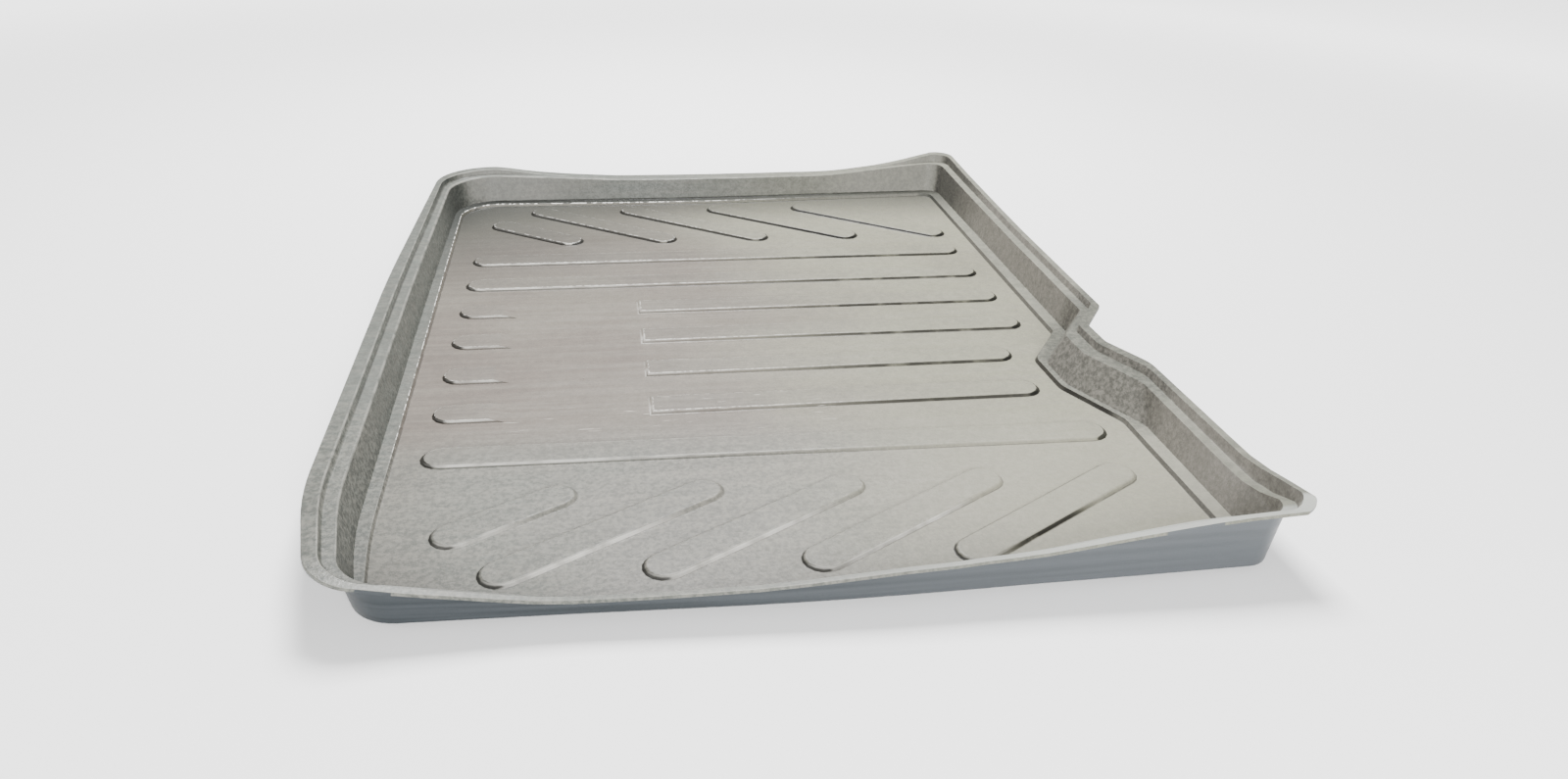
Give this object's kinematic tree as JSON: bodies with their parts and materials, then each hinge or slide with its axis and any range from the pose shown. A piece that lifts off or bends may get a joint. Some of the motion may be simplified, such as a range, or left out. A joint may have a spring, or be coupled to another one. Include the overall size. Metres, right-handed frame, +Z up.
{
  "type": "car boot liner",
  "caption": "Shallow formed plastic tray for a car boot, with an upstanding wall and stepped flange all round, a side notch and a ribbed floor.",
  "frame": {"origin": "middle of the bounding box in plan, on the plane that the underside of the floor rests on", "axes": "+Z up out of the tray, +Y along its length from the near edge to the far edge, +X across it from the plain side to the notched side"},
  "size_m": [0.7552, 1.002, 0.0635],
  "materials": {
    "grained_plastic": "warm mid-grey formed plastic with a fine leather-like grain and a low satin sheen"
  },
  "bodies": {
    "root": {"boot_liner": "grained_plastic"}
  },
  "joints": []
}
